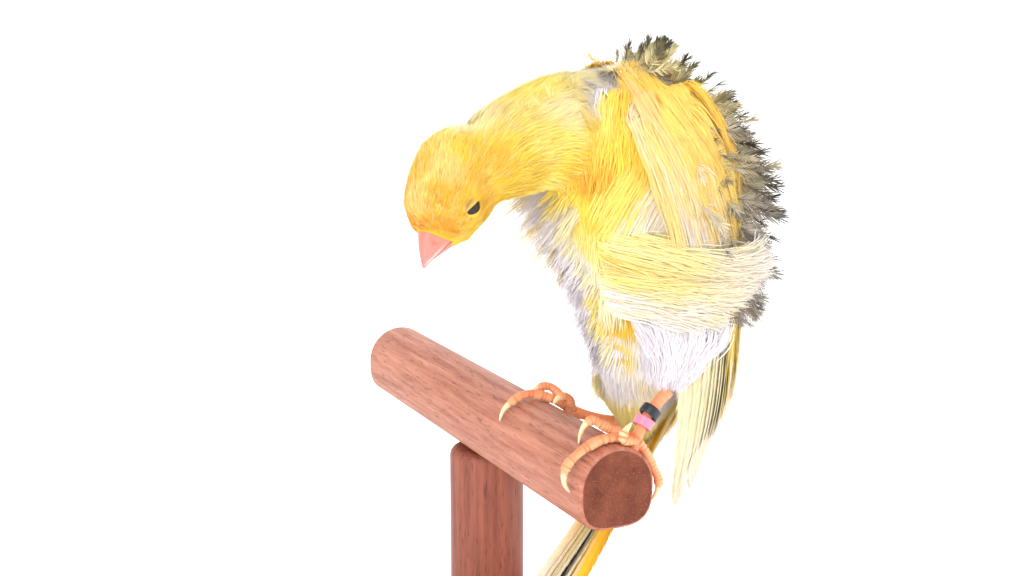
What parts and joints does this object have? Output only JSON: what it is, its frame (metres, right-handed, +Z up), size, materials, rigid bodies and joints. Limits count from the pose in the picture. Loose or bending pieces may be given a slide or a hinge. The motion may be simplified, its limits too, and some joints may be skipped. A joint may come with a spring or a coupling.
{
  "type": "frilled canary on a perch",
  "caption": "Still life-size frilled canary gripping a round wooden perch, head bent down, tail hanging behind the perch, on a plain post and round foot.",
  "frame": {"origin": "underside of the stand's round foot, on the axis of its post", "axes": "+Z up along the post; the perch runs along Y; the bird looks towards -X and its left side is towards -Y"},
  "size_m": [0.0993, 0.1483, 0.1679],
  "materials": {
    "plumage_yellow": "soft golden-yellow body feathers, orange on the forehead and shoulder, paler on crown and nape",
    "plumage_white": "long soft cream-white frilled feathers, yellow in places",
    "plumage_dark": "raised yellow back frills with dark brown shafts and tips",
    "flight_feathers": "flat cream-yellow vanes with pale lavender and beige edges",
    "leg_skin": "orange-pink scaled skin, cream claws",
    "bill": "smooth pink horn, paler along the cutting edge",
    "eye": "wet dark brown-black eye",
    "ring_black": "navy-black closed leg ring, no lettering",
    "ring_pink": "pink closed leg ring, no lettering",
    "perch_wood": "round dowel, reddish-brown hardwood with dark grain dashes, darker end face",
    "stand_wood": "reddish-brown hardwood, straight grain"
  },
  "bodies": {
    "root": {"head": "plumage_yellow", "neck": "plumage_yellow", "breast": "plumage_yellow", "belly": "plumage_white", "mantle": "plumage_dark", "rump": "plumage_yellow", "flank_left": "plumage_white", "flank_right": "plumage_white", "wing_left": "flight_feathers", "wing_right": "flight_feathers", "tail": "flight_feathers", "thigh_left": "plumage_white", "thigh_right": "plumage_white", "shank_left": "leg_skin", "shank_right": "leg_skin", "foot_left": "leg_skin", "foot_right": "leg_skin", "eye_left": "eye", "eye_right": "eye", "bill_upper": "bill", "bill_lower": "bill", "ring_black": "ring_black", "ring_pink": "ring_pink", "perch": "perch_wood", "stand_post": "stand_wood", "stand_foot": "stand_wood"}
  },
  "joints": []
}
